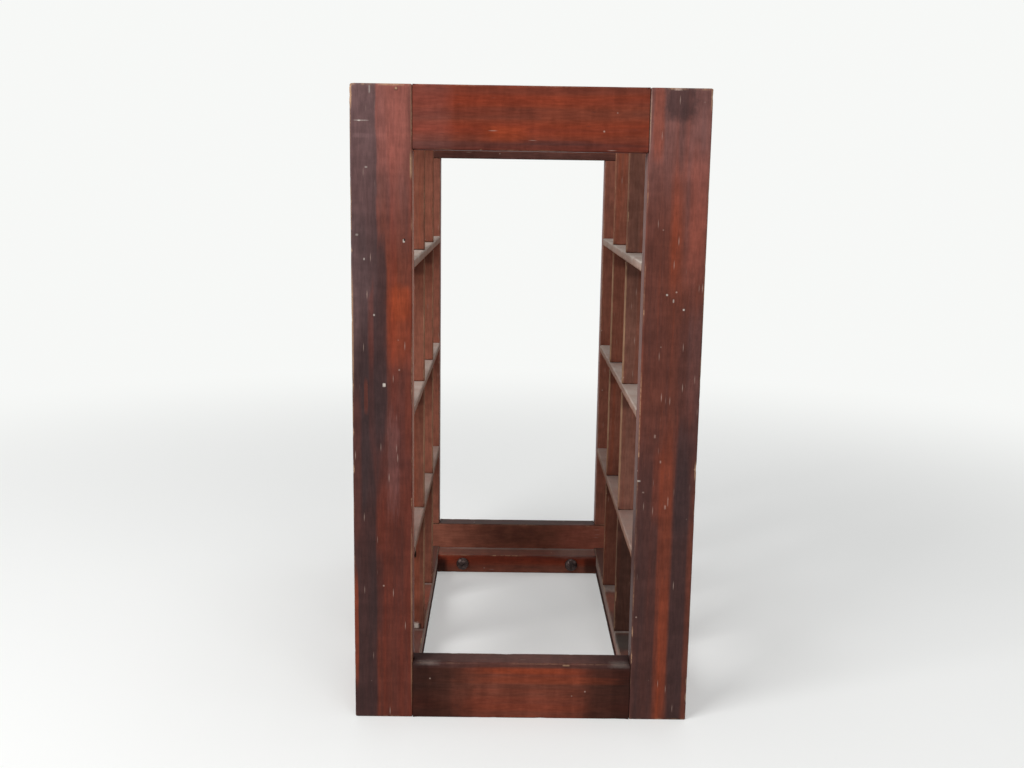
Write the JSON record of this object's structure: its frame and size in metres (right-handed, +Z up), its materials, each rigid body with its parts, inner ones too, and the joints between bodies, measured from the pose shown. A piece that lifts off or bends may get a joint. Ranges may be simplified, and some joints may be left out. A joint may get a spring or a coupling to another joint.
{
  "type": "countertop wine rack",
  "caption": "Free-standing wooden wine rack: two end frames joined by cross-lapped lattices that hold bottles lying across it.",
  "frame": {"origin": "centre of the footprint, on the surface the rack stands on", "axes": "+Z up, X across the rack along the bottles, Y along the rack from its front end to its rear end"},
  "size_m": [0.252, 0.3676, 0.469],
  "materials": {
    "frame_wood": "red-brown stained hardwood, satin lacquer, worn edges",
    "lattice_wood": "red-brown stained hardwood, satin lacquer, dusty tops",
    "screw_metal": "dark bronzed steel"
  },
  "bodies": {
    "root": {"front_left_stile": "frame_wood", "front_right_stile": "frame_wood", "rear_left_stile": "frame_wood", "rear_right_stile": "frame_wood", "front_top_rail": "frame_wood", "front_bottom_rail": "frame_wood", "rear_top_rail": "frame_wood", "rear_bottom_rail": "frame_wood", "front_cleat": "frame_wood", "rear_cleat": "frame_wood", "left_base_side_rail": "frame_wood", "left_top_side_rail": "frame_wood", "right_base_side_rail": "frame_wood", "right_top_side_rail": "frame_wood", "left_shelf_1": "lattice_wood", "left_shelf_2": "lattice_wood", "left_shelf_3": "lattice_wood", "left_divider_1": "lattice_wood", "left_divider_2": "lattice_wood", "right_shelf_1": "lattice_wood", "right_shelf_2": "lattice_wood", "right_shelf_3": "lattice_wood", "right_divider_1": "lattice_wood", "right_divider_2": "lattice_wood", "cleat_screws": "screw_metal"}
  },
  "joints": []
}
